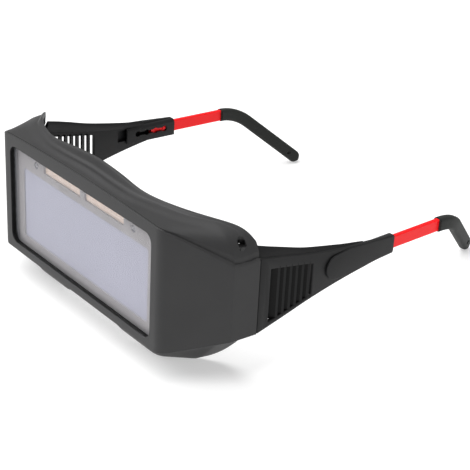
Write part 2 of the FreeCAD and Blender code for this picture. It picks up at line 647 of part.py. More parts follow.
# ---------------------------------------------------------------- rubber tips
def tip_path():
    along = V(-math.sin(math.radians(SLIDE_ANGLE)), math.cos(math.radians(SLIDE_ANGLE)), 0)
    start = V(SLEEVE_X, ARM_END_Y, SLEEVE_Z) + along * BAR_VISIBLE
    corner = start + along * TIP_STRAIGHT
    down = (TIP_END - corner).normalize()
    turn = along.getAngle(down)
    tangent = TIP_BEND_RADIUS * math.tan(turn / 2)
    bend_in, bend_out = corner - along * tangent, corner + down * tangent
    inward = (down - along * along.dot(down)).normalize()
    centre = bend_in + inward * TIP_BEND_RADIUS
    middle = centre + (corner - centre).normalize() * TIP_BEND_RADIUS
    bend = Part.Arc(bend_in, middle, bend_out).toShape()
    path = Part.Wire([Part.makeLine(start, bend_in), bend, Part.makeLine(bend_out, TIP_END)])
    return start, along, down, path


def make_temple_tip():
    start, along, down, path = tip_path()
    across = along.cross(UP).normalize()
    half_t, half_w = TIP_THICKNESS / 2, TIP_WIDTH / 2
    section = Part.makePolygon([start + across * (sx * half_t) + UP * (sz * half_w)
                                for sx, sz in ((1, 1), (-1, 1), (-1, -1), (1, -1), (1, 1))])
    sweep = path.makePipeShell([section], True, False)
    turn = FreeCAD.Rotation(along, down)
    thick, wide = turn.multVec(across), turn.multVec(UP)
    cap = Part.makeCylinder(half_w, TIP_THICKNESS, TIP_END - thick * half_t, thick)
    tip = sweep.fuse(cap)
    half_x, half_z = BAR_THICKNESS / 2 + TIP_STEP, TAIL_HALF + TIP_STEP
    core = on_slide(box(-half_x, half_x, BAR_VISIBLE - OVERCUT, BAR_VISIBLE + TAIL_LENGTH + TIP_STEP,
                        -half_z, half_z))
    hole_at = TIP_END - down * TIP_HOLE_FROM_END
    hole = Part.makeCylinder(TIP_HOLE_RADIUS, 2 * TIP_WIDTH, hole_at - thick * TIP_WIDTH, thick)
    return tip.cut(core).cut(hole), hole_at, thick


def export(name, shape):
    moved = shape.copy()
    moved.translate(TO_ORIGIN)
    moved.exportStep("parts/" + name + ".step")
    limits = moved.BoundBox
    print("%-26s solids %d valid %s volume %9.1f" % (name, len(moved.Solids), moved.isValid(), moved.Volume),
          "x %.1f..%.1f y %.1f..%.1f z %.1f..%.1f" % (
              limits.XMin, limits.XMax, limits.YMin, limits.YMax, limits.ZMin, limits.ZMax))


def main():
    os.makedirs("parts", exist_ok=True)
    export("goggle_shell", make_goggle_shell())
    export("front_cover_lens", make_front_cover_lens())
    export("cartridge_front_frame", make_cartridge_front_frame())
    export("cartridge_rear_frame", make_cartridge_rear_frame())
    for name, layer in make_glass_layers():
        export(name, layer)
    export("control_board", make_control_board())
    export("button_cells", make_button_cells())
    export("cartridge_seal", make_cartridge_seal())
    export("inner_cover_lens", make_inner_cover_lens())
    export("lens_retainer", make_lens_retainer())
    for name, side in (("right", 1), ("left", -1)):
        export("solar_cell_" + name, make_solar_cell(side))
        export("arc_sensor_" + name, make_arc_sensor(side))
    tip, hole_at, hole_axis = make_temple_tip()
    pieces = (("hinge_pin", make_hinge_pin()), ("temple_arm", make_temple_arm()),
              ("slider", make_slider()), ("temple_tip", tip))
    for name, shape in pieces:
        export(name + "_right", shape)
        export(name + "_left", mirrored(shape))
    print("hinge axis", V(HINGE_X, HINGE_Y, BARREL_BOTTOM) + TO_ORIGIN)
    print("lanyard hole", hole_at + TO_ORIGIN, "axis", hole_axis)


main()
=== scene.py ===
"""Auto-darkening welding goggles: the shown pieces and the studio they stand in."""

import json
import math

import bmesh
import bpy
from bpy.props import FloatProperty, FloatVectorProperty, IntProperty, PointerProperty
from mathutils import Matrix, Vector


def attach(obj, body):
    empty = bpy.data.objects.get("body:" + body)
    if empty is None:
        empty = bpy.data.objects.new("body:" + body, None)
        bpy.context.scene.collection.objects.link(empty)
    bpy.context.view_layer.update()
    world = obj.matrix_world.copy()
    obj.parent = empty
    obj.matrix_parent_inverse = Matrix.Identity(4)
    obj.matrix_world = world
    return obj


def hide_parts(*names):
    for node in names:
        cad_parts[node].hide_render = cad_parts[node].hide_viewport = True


bl_info = {
    "name": "Welding goggles",
    "version": (1, 0, 0),
    "blender": (4, 5, 0),
    "location": "3D View > Sidebar > Goggles",
    "description": "Makes the shell, arms, tips, lens and studio of a pair of welding goggles",
    "category": "Object",
}

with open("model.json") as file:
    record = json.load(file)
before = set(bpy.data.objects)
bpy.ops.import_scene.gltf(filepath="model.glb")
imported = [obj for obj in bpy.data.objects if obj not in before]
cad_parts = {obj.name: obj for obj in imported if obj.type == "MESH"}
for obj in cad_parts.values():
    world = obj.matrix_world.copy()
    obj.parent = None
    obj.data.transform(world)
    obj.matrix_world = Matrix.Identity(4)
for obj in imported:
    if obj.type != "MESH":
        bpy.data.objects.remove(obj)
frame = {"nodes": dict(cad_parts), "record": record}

# The outlines below are in millimetres from the middle of the front face's bottom edge:
# X across the face, Y back from it and Z up. MAKER_TO_ROW takes them to the frame's metres.
MM = 0.001
MAKER_TO_ROW = Matrix.Translation((0.0, -0.0881, 0.01154)) @ Matrix.Scale(MM, 4)
MIRROR = Matrix.Scale(-1.0, 4, (1.0, 0.0, 0.0))
SIDES = (("right", 1), ("left", -1))
OVERCUT = 1.0

# Plan of the shell: corner of the front face, bend of the side panel and seam with the arm
CORNER_X = 59.0
BEND_X, BEND_Y = 78.3, 21.3
SEAM_X, SEAM_Y = 80.7, 31.9
PLAN_STEP = 20.0
BROW_CURVE = [(0.0, 11.7), (29.0, 10.8), (43.5, 13.7), (56.1, 17.8),
              (65.8, 25.2), (72.5, 29.3), (84.0, 32.0)]
BROW_RIM = [(0.0, 11.7), (17.0, 11.3), (33.0, 11.0), (47.0, 14.6),
            (60.5, 20.8), (71.0, 28.5), (77.1, 31.9)]
CHEEK_RIM = [(0.0, 9.0), (19.0, 9.6), (36.0, 13.4), (50.0, 20.5),
             (57.5, 26.0), (63.0, 30.0), (68.0, 31.9)]

# Heights along the shell's edges
FRONT_HEIGHT, BROW_ARCH = 54.7, 1.3
BEND_TOP, SEAM_TOP = 43.0, 42.6
BEND_BOTTOM, SEAM_BOTTOM = 8.2, 9.7
SHOULDER_FALL_FRONT, SHOULDER_FALL_GROWTH = 2.0, 2.5
RISER_START, RISER_END, RISER_SHARE = 9.0, 2.0, 0.45
LIP_START, LIP_END = 2.6, 0.9
CHEEK_DROP, CHEEK_RUN, CHEEK_SHOULDER = 11.2, 12.0, 26.0
NOSE_TOP, NOSE_BOTTOM = 2.0, 22.5
STEEPEST = 1.8
SLOPE_STEP = 0.4
GROOVE_AT, GROOVE_HALF, GROOVE_DEPTH = 0.85, 0.33, 1.3
FRONT_GROOVE = 0.4
BROW_DIP, BROW_DIP_AT, BROW_DIP_SPREAD = 1.1, 3.6, 1.6

# Window, pocket and hinge
WINDOW = (107.2, 4.0, 50.0)
POCKET = (108.8, 1.2, 52.8)
COLLAR = (112.0, 0.3, 53.8)
COLLAR_FRONT, COLLAR_REAR = 1.1, 13.5
COLLAR_CORNER, POCKET_CORNER = 2.5, 0.6
HINGE_X, HINGE_Y = 75.2, 26.3
LUGS = ((40.15, 42.4), (9.5, 12.85))
LUG_RADIUS, BARREL_RADIUS = 3.6, 2.4
BARREL_BOTTOM, BARREL_TOP = 13.2, 39.8
PIN_MOUTH_FLOOR, CUP_RADIUS = 47.6, 2.0

# Painted shade: inside these boxes the colour is darkened to stand in for shade in recesses: depths behind
# the front face and behind the arm's outside, and slack
REVEAL_FRONT, REVEAL_REAR = 0.4, 2.4
FIN_LIP, FIN_BACK, EDGE_MARGIN = 0.5, 2.15, 0.08
# The second number is the near-black colour that the painted shade multiplies in
MOUTH_SHADE_TOP, PAINTED_SHADE_TONE = 49.6, 0.03

# Temple arms
ARM_FRONT, ARM_END = 32.2, 105.0
ARM_LOWER = [(32.2, 9.7), (45.0, 13.3), (59.0, 17.4), (75.8, 21.4), (92.4, 24.3), (105.0, 25.3)]
ARM_UPPER = [(32.2, 42.6), (45.0, 40.3), (57.0, 38.0), (74.2, 35.6), (85.7, 34.8), (105.0, 33.5)]
FLANGE_INWARD = [(32.2, 3.6), (39.0, 2.5), (54.0, 1.7), (72.0, 1.5), (88.0, 1.2)]
FLANGE_HEIGHT = [(32.2, 4.9), (39.0, 4.3), (54.0, 3.0), (72.0, 2.1), (88.0, 0.9)]
VENT = [(37.6, 13.2), (59.4, 19.2), (59.4, 33.2), (37.6, 36.8)]
FIN_START, FIN_RISE, FIN_SLANT = (SEAM_X - 1.45, 40.85, 25.4), 0.15, math.radians(50.0)
FLANGE_END, FLANGE_INSET, FLANGE_SINK = 88.0, 0.95, 0.6
KNUCKLE_INSIDE, WEB_SHORTER = SEAM_X - 2.2, 6.0
KNUCKLE_WEB = [(HINGE_X - 1.6, HINGE_Y), (HINGE_X + 1.6, HINGE_Y), (HINGE_X + 2.0, SEAM_Y - 0.5),
               (KNUCKLE_INSIDE - 0.4, SEAM_Y + 0.9), (KNUCKLE_INSIDE + 0.6, SEAM_Y + 1.2),
               (KNUCKLE_INSIDE + 0.6, SEAM_Y + 5.0), (HINGE_X + 0.6, SEAM_Y + 1.5)]
SLIDE_ANGLE = math.radians(2.5)
SLEEVE_AT = Vector((78.0, 105.0, 29.5))
SLEEVE_LENGTH, BAR_OVERRUN = 27.5, 4.5
SLEEVE_OUTLINE = [(-2.3, -4.3), (1.8, -4.3), (1.8, 3.9), (-1.1, 3.9), (-2.3, 2.7)]
PAD_FACE = 2.05
BAR_HALF_X, BAR_HALF_Z = 1.25, 2.95
DETENT_LAST, DETENT_PITCH, DETENT_COUNT = -6.0, 5.1, 4
LOBE_RADIUS, NECK_HALF = 1.45, 0.9
PAD_FRONT, PAD_RADIUS, PAD_NOSE_Z = 66.0, 5.6, 28.5
PAD_JOIN_Y, PAD_ABOVE_LOWER, PAD_BELOW_UPPER = 79.0, 0.7, 0.25

# Rubber tips
TIP_START = 29.0
TIP_STRAIGHT = 9.5
TIP_BEND = 22.0
TIP_END = Vector((61.4, 172.5, 4.2))
TIP_LIP = ((0.0, 0.5), (0.12, 0.2), (0.45, 0.0))
HOLE_REACH, HOLE_SIDES = 6.0, 28

# Studio: the floor rises towards the back from FLOOR_FRONT, and lies FLOOR_DROP lower, in metres
FLOOR_FRONT, FLOOR_RISE, FLOOR_DROP = -0.070, 0.0807, 0.0002
AIR_STRENGTH = 0.32


def length(name, description, millimetres):
    """A size shown in the sidebar in the scene's own units."""
    return FloatProperty(name=name, description=description, default=millimetres * MM, min=0.0,
                         subtype="DISTANCE", unit="LENGTH", precision=4)


def tint(name, description, colour):
    return FloatVectorProperty(name=name, description=description, default=colour, size=3,
                               subtype="COLOR", min=0.0, max=1.0)


class ShellSizes(bpy.types.PropertyGroup):
    wall: length("Wall", "Thickness of the moulded shell", 2.2)
    corner: length("Corner radius", "Rounding of the shell's upright front corners", 6.0)
    bend: length("Bend radius", "Rounding of the upright crease in each side panel", 0.5)
    edge: length("Edge radius", "Rounding of the edges round the front face", 0.9)
    rim: length("Rim radius", "Rounding of the brow and cheek rims", 0.55)
    window_corner: length("Window corner", "Corner radius of the window", 4.2)
    brow_lift_side: length("Brow lift at the sides", "Rise of the brow lip near the temples", 1.5)
    brow_lift_middle: length("Brow lift in the middle", "Extra rise of the brow lip over the nose", 2.6)
    brow_spread: length("Brow lift spread", "How far from the middle the extra rise reaches", 32.0)
    pin_mouth: length("Pin mouth radius", "Radius of the hole over each hinge pin", 1.5)


class ArmSizes(bpy.types.PropertyGroup):
    wall: length("Wall", "Thickness of the arm's side plate", 2.2)
    edge: length("Edge rounding", "Width of the rounding on the arm's edges", 0.45)
    leaf: length("Flange thickness", "Thickness of the leaf along the top of the arm", 1.6)
    fin_count: IntProperty(name="Louvre fins", description="Number of fins in each vent", default=6, min=1)
    fin_pitch: length("Fin pitch", "Distance from one louvre fin to the next", 3.12)
    fin_width: length("Fin width", "Width of a louvre fin along its slant", 4.0)
    fin_thickness: length("Fin thickness", "Thickness of a louvre fin", 0.75)
    fin_front: length("First fin height", "Height of the fin nearest the lens", 23.6)
    fin_taper: length("Fin taper", "How much shorter each fin is than the one before", 1.35)
    pad: length("Pad thickness", "How thick the raised pad over the sleeve is", 0.7)


class TipSizes(bpy.types.PropertyGroup):
    width: length("Width", "Width of the rubber tip, seen from the side", 6.2)
    thickness: length("Thickness", "Thickness of the rubber tip, seen from above", 4.4)
    edge: length("Edge radius", "Rounding along the tip's four long edges", 1.5)
    hole: length("Hole radius", "Radius of the lanyard hole", 1.0)
    hole_from_end: length("Hole setback", "Distance of the lanyard hole from the end's centre", 4.0)


class Finishes(bpy.types.PropertyGroup):
    shell: tint("Shell", "Colour of the moulded shell", (0.031, 0.0308, 0.0315))
    arm: tint("Arms", "Colour of the temple arms", (0.0145, 0.0145, 0.015))
    slider: tint("Sliders", "Colour of the length sliders", (1.0, 0.004, 0.007))
    rubber: tint("Rubber", "Colour of the temple tips", (0.014, 0.0155, 0.014))
    filter: tint("Filter", "Tint the filter glass gives back", (0.29, 0.285, 0.37))
    inner_frame: tint("Cartridge", "Colour of the cartridge's frame", (0.31, 0.29, 0.295))
    solar: tint("Solar cells", "Colour of the solar strips", (0.80, 0.62, 0.50))


class StudioSizes(bpy.types.PropertyGroup):
    floor: FloatProperty(name="Floor size", description="Side of the square floor", default=24.0,
                         unit="LENGTH", subtype="DISTANCE")
    focal_length: FloatProperty(name="Focal length", description="Focal length on a 36 mm sensor",
                                default=101.28, unit="CAMERA")
    azimuth: FloatProperty(name="Azimuth", description="Turn of the camera from straight ahead",
                           default=math.radians(50.48), subtype="ANGLE", unit="ROTATION")
    elevation: FloatProperty(name="Elevation", description="Height of the camera above the horizon",
                             default=math.radians(25.88), subtype="ANGLE", unit="ROTATION")
    roll: FloatProperty(name="Roll", description="Lean of the camera about its line of sight",
                        default=math.radians(3.05), subtype="ANGLE", unit="ROTATION")
    camera_at: FloatVectorProperty(name="Camera", description="Where the camera stands", size=3,
                                   default=(0.41969, -0.34920, 0.28125), subtype="TRANSLATION", unit="LENGTH")


# ---------------------------------------------------------------- curves and heights
def smooth_step(t):
    t = min(max(t, 0.0), 1.0)
    return t * t * (3.0 - 2.0 * t)


def through(points, x):
    """Value at x of the smooth curve through (x, value) points."""
    x = min(max(x, points[0][0]), points[-1][0])
    index = 0
    while index < len(points) - 2 and x > points[index + 1][0]:
        index += 1
    (x0, y0), (x1, y1) = points[index], points[index + 1]
    before = points[index - 1] if index else (x0, y0)
    after = points[index + 2] if index + 2 < len(points) else (x1, y1)
    span = x1 - x0
    slope0 = (y1 - before[1]) / (x1 - before[0])
    slope1 = (after[1] - y0) / (after[0] - x0)
    t = (x - x0) / span
    level = y0 * (1 + 2 * t) * (1 - t) ** 2 + y1 * t * t * (3 - 2 * t)
    return level + span * (slope0 * t * (1 - t) ** 2 + slope1 * t * t * (t - 1))


def half_width(y):
    if y < BEND_Y:
        return CORNER_X + (BEND_X - CORNER_X) * y / BEND_Y
    return BEND_X + (SEAM_X - BEND_X) * (y - BEND_Y) / (SEAM_Y - BEND_Y)


def edge_height(y, start, bend, seam):
    if y < BEND_Y:
        return start + (bend - start) * max(y, 0.0) / BEND_Y
    return bend + (seam - bend) * (y - BEND_Y) / (SEAM_Y - BEND_Y)


def top_height(x, y):
    sizes = bpy.context.scene.goggle_shell
    spread = math.exp(-((x * MM / sizes.brow_spread) ** 2))
    lift = (sizes.brow_lift_side + sizes.brow_lift_middle * spread) / MM
    ahead = through(BROW_CURVE, abs(x)) - y
    riser = smooth_step((RISER_START - ahead) / (RISER_START - RISER_END))
    lip = smooth_step((LIP_START - ahead) / (LIP_START - LIP_END))
    crown = FRONT_HEIGHT + BROW_ARCH * (1 - (x / CORNER_X) ** 2)
    crown -= BROW_DIP * spread * math.exp(-(((ahead - BROW_DIP_AT) / BROW_DIP_SPREAD) ** 2))
    level = crown + lift * (RISER_SHARE * riser + (1 - RISER_SHARE) * lip)
    side = edge_height(y, FRONT_HEIGHT, BEND_TOP, SEAM_TOP)
    fall_length = SHOULDER_FALL_FRONT + SHOULDER_FALL_GROWTH * min(y / HINGE_Y, 1.0)
    fall = math.exp(-(half_width(y) - abs(x)) / fall_length)
    return level - (FRONT_HEIGHT + smooth_step(y / BEND_Y) - side) * fall


def belly_height(x, y):
    notch = smooth_step((abs(x) - NOSE_TOP) / (NOSE_BOTTOM - NOSE_TOP))
    level = -CHEEK_DROP * notch * smooth_step(y / CHEEK_RUN)
    side = edge_height(y, 0.0, BEND_BOTTOM, SEAM_BOTTOM)
    return level + (side - level) * (1 - smooth_step((half_width(y) - abs(x)) / CHEEK_SHOULDER))


def thinned(height, x, y, wall):
    """Height of the inside of a wall whose outside is at the given height function."""
    step = SLOPE_STEP
    slope_x = (height(x + step, y) - height(x - step, y)) / (2 * step)
    slope_y = (height(x, y + step) - height(x, y - step)) / (2 * step)
    return height(x, y) + wall * min(math.sqrt(1 + slope_x ** 2 + slope_y ** 2), STEEPEST)


# ---------------------------------------------------------------- mesh helpers
def loft(rings, closed_ends=True):
    """Skin over rings of points, each ring closed, with its ends filled."""
    bm = bmesh.new()
    rows = [[bm.verts.new(p) for p in points] for points in rings]
    count = len(rows[0])
    for a, b in zip(rows, rows[1:]):
        for i in range(count):
            j = (i + 1) % count
            bm.faces.new((a[i], a[j], b[j], b[i]))
    if closed_ends:
        bm.faces.new(rows[0][::-1])
        bm.faces.new(rows[-1])
    return bm


def prism(outline, low, high, axis):
    """A straight prism: its outline runs round the given axis, from low to high along it."""
    at = {"x": lambda a, b, c: (c, a, b),
          "y": lambda a, b, c: (a, c, b),
          "z": lambda a, b, c: (a, b, c)}[axis]
    return loft([[Vector(at(a, b, c)) for a, b in outline] for c in (low, high)])


def turned(profile, x, y, segments=40):
    """A round part about an upright axis, from (radius, height) points that leave its ends flat."""
    rings = []
    for radius, z in profile:
        angles = [2 * math.pi * i / segments for i in range(segments)]
        rings.append([Vector((x + radius * math.cos(a), y + radius * math.sin(a), z)) for a in angles])
    return loft(rings)


def rounded_box(width, bottom, top, radius, steps=8):
    """Corner points of an upright rounded rectangle, centred on x = 0."""
    points = []
    for sx, sz, start in ((1, 1, 0), (-1, 1, 90), (-1, -1, 180), (1, -1, 270)):
        cx = sx * (width / 2 - radius)
        cz = top - radius if sz > 0 else bottom + radius
        for i in range(steps + 1):
            a = math.radians(start + 90.0 * i / steps)
            points.append((cx + radius * math.cos(a), cz + radius * math.sin(a)))
    return points


def ring_solid(outer, inner, front, rear):
    """A frame between an outer and an inner outline of as many points."""
    rings = []
    for outline, y in ((outer, front), (outer, rear), (inner, rear), (inner, front), (outer, front)):
        rings.append([Vector((x, y, z)) for x, z in outline])
    return loft(rings, closed_ends=False)


def settle(bm):
    """Merges doubles and turns every face outwards."""
    bmesh.ops.remove_doubles(bm, verts=bm.verts, dist=1e-5)
    bmesh.ops.recalc_face_normals(bm, faces=bm.faces)
    return bm


def gathered(parts):
    """One mesh of several closed parts, each with its faces turned outwards."""
    whole = bmesh.new()
    for part in parts:
        settle(part)
        holder = bpy.data.meshes.new("part")
        part.to_mesh(holder)
        part.free()
        whole.from_mesh(holder)
        bpy.data.meshes.remove(holder)
    return whole


def as_object(name, bm):
    mesh = bpy.data.meshes.new(name)
    bm.to_mesh(mesh)
    bm.free()
    obj = bpy.data.objects.new(name, mesh)
    bpy.context.scene.collection.objects.link(obj)
    return obj


def bake_modifiers(obj):
    """Gives the object the mesh that its modifiers make, and takes them off."""
    graph = bpy.context.evaluated_depsgraph_get()
    mesh = bpy.data.meshes.new_from_object(obj.evaluated_get(graph))
    obj.modifiers.clear()
    old = obj.data
    obj.data = mesh
    bpy.data.meshes.remove(old)
    return obj


def cut(bm, cutters):
    """The first mesh with the others taken out of it."""
    obj = as_object("blank", settle(bm))
    tools = [as_object("cutter", settle(cutter)) for cutter in cutters]
    for tool in tools:
        step = obj.modifiers.new("cut", "BOOLEAN")
        step.operation = "DIFFERENCE"
        step.solver = "EXACT"
        step.object = tool
    bake_modifiers(obj)
    result = bmesh.new()
    result.from_mesh(obj.data)
    if len(result.faces) < 6:
        raise RuntimeError("a cut left nothing of a piece")
    for done in tools + [obj]:
        mesh = done.data
        bpy.data.objects.remove(done)
        bpy.data.meshes.remove(mesh)
    return result


def softened(bm, width, segments=2, angle=35.0):
    """The mesh with its sharp edges rounded."""
    obj = as_object("blank", settle(bm))
    bevel = obj.modifiers.new("soft", "BEVEL")
    bevel.width = width
    bevel.segments = segments
    bevel.limit_method = "ANGLE"
    bevel.angle_limit = math.radians(angle)
    bake_modifiers(obj)
    result = bmesh.new()
    result.from_mesh(obj.data)
    mesh = obj.data
    bpy.data.objects.remove(obj)
    bpy.data.meshes.remove(mesh)
    return result


def finish_piece(name, bm, body, nodes, material, side=1, angle=32.0):
    """Turns a mesh in millimetres into a finished piece that stands for CAD nodes."""
    if side < 0:
        bm.transform(MIRROR)
        bmesh.ops.reverse_faces(bm, faces=bm.faces)
    bm.transform(MAKER_TO_ROW)
    obj = as_object(name, bm)
    obj.data.materials.clear()
    obj.data.materials.append(material)
    for face in obj.data.polygons:
        face.use_smooth = True
        face.material_index = 0
    obj.data.set_sharp_from_angle(angle=math.radians(angle))
    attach(obj, body)
    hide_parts(*nodes)
    return obj


# ---------------------------------------------------------------- materials
def coloured_noise(tree, coords, scale, detail, low, high, clip=(0.35, 0.65)):
    """Noise in object space, as its factor and as a colour between two tones."""
    noise = tree.nodes.new("ShaderNodeTexNoise")
    noise.inputs["Scale"].default_value = scale
    noise.inputs["Detail"].default_value = detail
    tree.links.new(coords, noise.inputs["Vector"])
    ramp = tree.nodes.new("ShaderNodeValToRGB")
    ramp.color_ramp.elements[0].position, ramp.color_ramp.elements[1].position = clip
    ramp.color_ramp.elements[0].color = (*low, 1.0)
    ramp.color_ramp.elements[1].color = (*high, 1.0)
    tree.links.new(noise.outputs["Fac"], ramp.inputs["Fac"])
    return noise.outputs["Fac"], ramp.outputs["Color"]


def ranged(tree, value, low, high):
    spread = tree.nodes.new("ShaderNodeMapRange")
    spread.inputs["To Min"].default_value = low
    spread.inputs["To Max"].default_value = high
    tree.links.new(value, spread.inputs["Value"])
    return spread.outputs["Result"]


def row_box(low, high):
    """Middle and half size, in the frame's metres, of a box given by two corners in millimetres."""
    a, b = MAKER_TO_ROW @ Vector(low), MAKER_TO_ROW @ Vector(high)
    middle = (a + b) / 2
    return Vector([abs(c) for c in middle]), (b - a) / 2


def with_painted_shade(tree, coords, tone, middle, half):
    """The tone with painted shade: darkened inside a box and its mirror images about the frame's three
    planes.
    """
    value = coords
    steps = (("ABSOLUTE", None), ("SUBTRACT", middle), ("ABSOLUTE", None), ("SUBTRACT", half))
    for operation, amount in steps:
        step = tree.nodes.new("ShaderNodeVectorMath")
        step.operation = operation
        tree.links.new(value, step.inputs[0])
        if amount:
            step.inputs[1].default_value = amount
        value = step.outputs["Vector"]
    axes = tree.nodes.new("ShaderNodeSeparateXYZ")
    tree.links.new(value, axes.inputs["Vector"])
    beyond = axes.outputs["X"]
    for axis in ("Y", "Z"):
        larger = tree.nodes.new("ShaderNodeMath")
        larger.operation = "MAXIMUM"
        tree.links.new(beyond, larger.inputs[0])
        tree.links.new(axes.outputs[axis], larger.inputs[1])
        beyond = larger.outputs["Value"]
    inside = tree.nodes.new("ShaderNodeMath")
    inside.operation = "LESS_THAN"
    inside.inputs[1].default_value = 0.0
    tree.links.new(beyond, inside.inputs[0])
    # Painted shade: inside the box the colour is multiplied by a near-black tone
    mixed = tree.nodes.new("ShaderNodeMix")
    mixed.data_type = "RGBA"
    mixed.blend_type = "MULTIPLY"
    mixed.inputs["B"].default_value = (PAINTED_SHADE_TONE, PAINTED_SHADE_TONE, PAINTED_SHADE_TONE, 1.0)
    tree.links.new(inside.outputs["Value"], mixed.inputs["Factor"])
    tree.links.new(tone, mixed.inputs["A"])
    return mixed.outputs["Result"]


def moulded(name, colour, spread, roughness, grain, bump, patch=60.0, painted_shade_boxes=(), **sockets):
    """A surface with drifting tone, uneven gloss and a fine raised grain, with painted shade darkening the
    boxes given round its recesses.
    """
    material = bpy.data.materials.new(name)
    material.use_nodes = True
    tree = material.node_tree
    shader = tree.nodes["Principled BSDF"]
    coords = tree.nodes.new("ShaderNodeTexCoord").outputs["Object"]
    low = [c * (1.0 - spread) for c in colour]
    high = [min(c * (1.0 + spread), 1.0) for c in colour]
    drift, tone = coloured_noise(tree, coords, patch, 3.0, low, high)
    # Painted shade in each box that stands for a recess
    for shade_box in painted_shade_boxes:
        tone = with_painted_shade(tree, coords, tone, *shade_box)
    tree.links.new(tone, shader.inputs["Base Color"])
    tree.links.new(ranged(tree, drift, *roughness), shader.inputs["Roughness"])
    fine = tree.nodes.new("ShaderNodeTexNoise")
    fine.inputs["Scale"].default_value = grain
    fine.inputs["Detail"].default_value = 2.0
    tree.links.new(coords, fine.inputs["Vector"])
    raised = tree.nodes.new("ShaderNodeBump")
    raised.inputs["Strength"].default_value = bump
    raised.inputs["Distance"].default_value = 0.0001
    tree.links.new(fine.outputs["Fac"], raised.inputs["Height"])
    tree.links.new(raised.outputs["Normal"], shader.inputs["Normal"])
    for socket, value in sockets.items():
        shader.inputs[socket.replace("_", " ")].default_value = value
    return material


def finishes():
    """Every finish on the goggles, by the record's material slot."""
    own = bpy.context.scene.goggle_finishes
    # Boxes of painted shade: the window's reveal, the mouths over the hinge pins and the deep part of the
    # louvre fins, whose outer lip keeps the arm's tone
    half_window = WINDOW[0] / 2 + EDGE_MARGIN
    reveal_shade = row_box((-half_window, REVEAL_FRONT, WINDOW[1] - EDGE_MARGIN),
                     (half_window, REVEAL_REAR, WINDOW[2] + EDGE_MARGIN))
    mouth_half = bpy.context.scene.goggle_shell.pin_mouth / MM + EDGE_MARGIN
    pin_mouth = row_box((HINGE_X - mouth_half, HINGE_Y - mouth_half, BARREL_TOP),
                        (HINGE_X + mouth_half, HINGE_Y + mouth_half, MOUTH_SHADE_TOP))
    louvre_shade = row_box((SEAM_X - FIN_BACK, VENT[0][0] - EDGE_MARGIN, VENT[0][1] - EDGE_MARGIN),
                      (SEAM_X - FIN_LIP, VENT[2][0] + EDGE_MARGIN, VENT[3][1]))
    return {
        # The shell gets painted shade in its window reveal and pin mouths, and the arms get it in their
        # louvre fins
        "shell_plastic": moulded("shell plastic", own.shell, 0.06, (0.46, 0.56), 2600.0, 0.35,
                                 painted_shade_boxes=(reveal_shade, pin_mouth), Specular_IOR_Level=0.3),
        "arm_plastic": moulded("arm plastic", own.arm, 0.08, (0.42, 0.52), 2600.0, 0.3,
                               painted_shade_boxes=(louvre_shade,), Specular_IOR_Level=0.17),
        "frame_plastic": moulded("cartridge plastic", own.inner_frame, 0.05, (0.45, 0.55), 1800.0, 0.2),
        "slider_plastic": moulded("slider plastic", own.slider, 0.05, (0.34, 0.42), 1500.0, 0.1,
                                  Specular_IOR_Level=0.25),
        "tip_rubber": moulded("tip rubber", own.rubber, 0.12, (0.6, 0.74), 2200.0, 0.6,
                              Specular_IOR_Level=0.3),
        "cover_plate": moulded("cover plate", (0.80, 0.82, 0.88), 0.02, (0.03, 0.06), 60.0, 0.002,
                               Alpha=0.12),
        "filter_glass": moulded("filter glass", own.filter, 0.03, (0.3, 0.36), 60.0, 0.0,
                                patch=14.0, Specular_IOR_Level=0.4),
        "polariser_film": moulded("polariser film", (0.24, 0.25, 0.2), 0.05, (0.2, 0.3), 600.0, 0.05),
        "cell_glass": moulded("cell glass", (0.34, 0.38, 0.32), 0.04, (0.05, 0.1), 500.0, 0.02),
        "circuit_board": moulded("circuit board", (0.02, 0.13, 0.06), 0.2, (0.3, 0.45), 900.0, 0.3),
        "cell_steel": moulded("cell steel", (0.62, 0.61, 0.6), 0.06, (0.2, 0.34), 1500.0, 0.1, Metallic=1.0),
        "seal_foam": moulded("seal foam", (0.03, 0.03, 0.03), 0.3, (0.8, 0.95), 1200.0, 1.0),
        "solar_cell": moulded("solar cell", own.solar, 0.05, (0.16, 0.24), 500.0, 0.05, patch=180.0),
        "sensor_epoxy": moulded("sensor epoxy", (0.24, 0.225, 0.24), 0.1, (0.1, 0.16), 500.0, 0.05),
        "pin_steel": moulded("pin steel", (0.08, 0.08, 0.085), 0.1, (0.35, 0.5), 1800.0, 0.2, Metallic=1.0),
    }


def finish(slot):
    """The material of a slot, made once."""
    name = {"frame_plastic": "cartridge plastic"}.get(slot, slot.replace("_", " "))
    if name not in bpy.data.materials:
        finishes()
    return bpy.data.materials[name]


# ---------------------------------------------------------------- shell
def filleted(corners, radii, pieces, arc_steps):
    """Points (x, y, place) along a line of corners with rounded turns; place runs with the corners."""
    turns = []
    for before, at, after, radius in zip(corners, corners[1:], corners[2:], radii):
        a, b, c = (Vector(p[:2]) for p in (before, at, after))
        back, ahead = (a - b), (c - b)
        angle = math.pi - back.angle(ahead)
        trim = radius * math.tan(angle / 2)
        start = (*(b + back.normalized() * trim), at[2] - (at[2] - before[2]) * trim / back.length)
        end = (*(b + ahead.normalized() * trim), at[2] + (after[2] - at[2]) * trim / ahead.length)
        turns.append((Vector(start), Vector((*b, at[2])), Vector(end)))
    stops = [Vector(corners[0])]
    for start, middle, end in turns:
        stops += [start, end]
    stops.append(Vector(corners[-1]))
    points = []
    for leg, count in enumerate(pieces):
        a, b = stops[2 * leg], stops[2 * leg + 1]
        points += [a.lerp(b, i / count) for i in range(count)]
        if leg < len(turns):
            start, middle, end = turns[leg]
            for i in range(arc_steps):
                t = i / arc_steps
                points.append(start.lerp(middle, t).lerp(middle.lerp(end, t), t))
    points.append(stops[-1])
    return points


